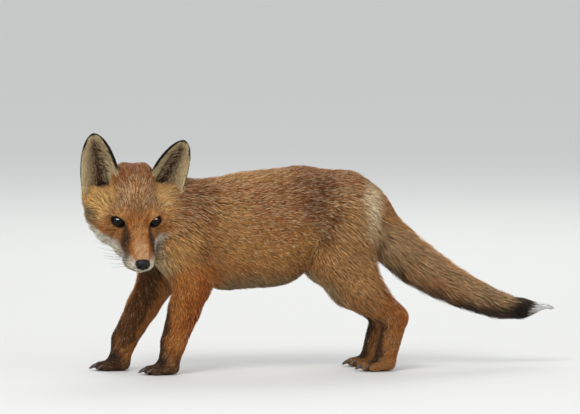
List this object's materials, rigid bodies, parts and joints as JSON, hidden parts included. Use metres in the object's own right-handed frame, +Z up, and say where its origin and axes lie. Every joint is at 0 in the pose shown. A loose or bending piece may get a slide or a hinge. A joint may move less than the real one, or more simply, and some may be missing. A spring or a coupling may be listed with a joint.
{
  "type": "red fox cub",
  "caption": "Life-size red fox cub, walking with its head low and turned to its left, ears up and brush trailing behind.",
  "frame": {"origin": "on the ground, under the middle of the whole model's box", "axes": "+X from the head to the tail, +Y to the animal's right, +Z up; the soles are at Z = 0"},
  "size_m": [0.5811, 0.1531, 0.2903],
  "materials": {
    "coat": "dense rufous-brown fur, ticked pale and dark",
    "face_fur": "short orange-brown fur, pale at the cheeks and lips, dark from the eyes to the muzzle",
    "pale_fur": "short greyish-white fur",
    "dark_fur": "short black-brown fur with blackish claws",
    "brush_fur": "long rufous-brown fur, darker underneath",
    "white_fur": "white tip of the brush with a black band before it",
    "ear_fur": "black behind and at the rim, cream hairs inside",
    "eye": "wet gloss over a dark brown iris",
    "nose_leather": "moist black pebbled leather"
  },
  "bodies": {
    "root": {"head": "face_fur", "face": "face_fur", "lower_jaw": "pale_fur", "nose": "nose_leather", "eye_left": "eye", "eye_right": "eye", "ear_left": "ear_fur", "ear_right": "ear_fur", "neck": "coat", "trunk": "coat", "tail_base": "brush_fur", "tail_brush": "brush_fur", "tail_tip": "white_fur", "foreleg_left_upper": "coat", "foreleg_left_forearm": "coat", "foreleg_left_paw": "dark_fur", "hindleg_left_thigh": "coat", "hindleg_left_shank": "coat", "hindleg_left_cannon": "dark_fur", "hindleg_left_paw": "dark_fur", "foreleg_right_upper": "coat", "foreleg_right_forearm": "coat", "foreleg_right_paw": "dark_fur", "hindleg_right_thigh": "coat", "hindleg_right_shank": "coat", "hindleg_right_cannon": "dark_fur", "hindleg_right_paw": "dark_fur"}
  },
  "joints": []
}
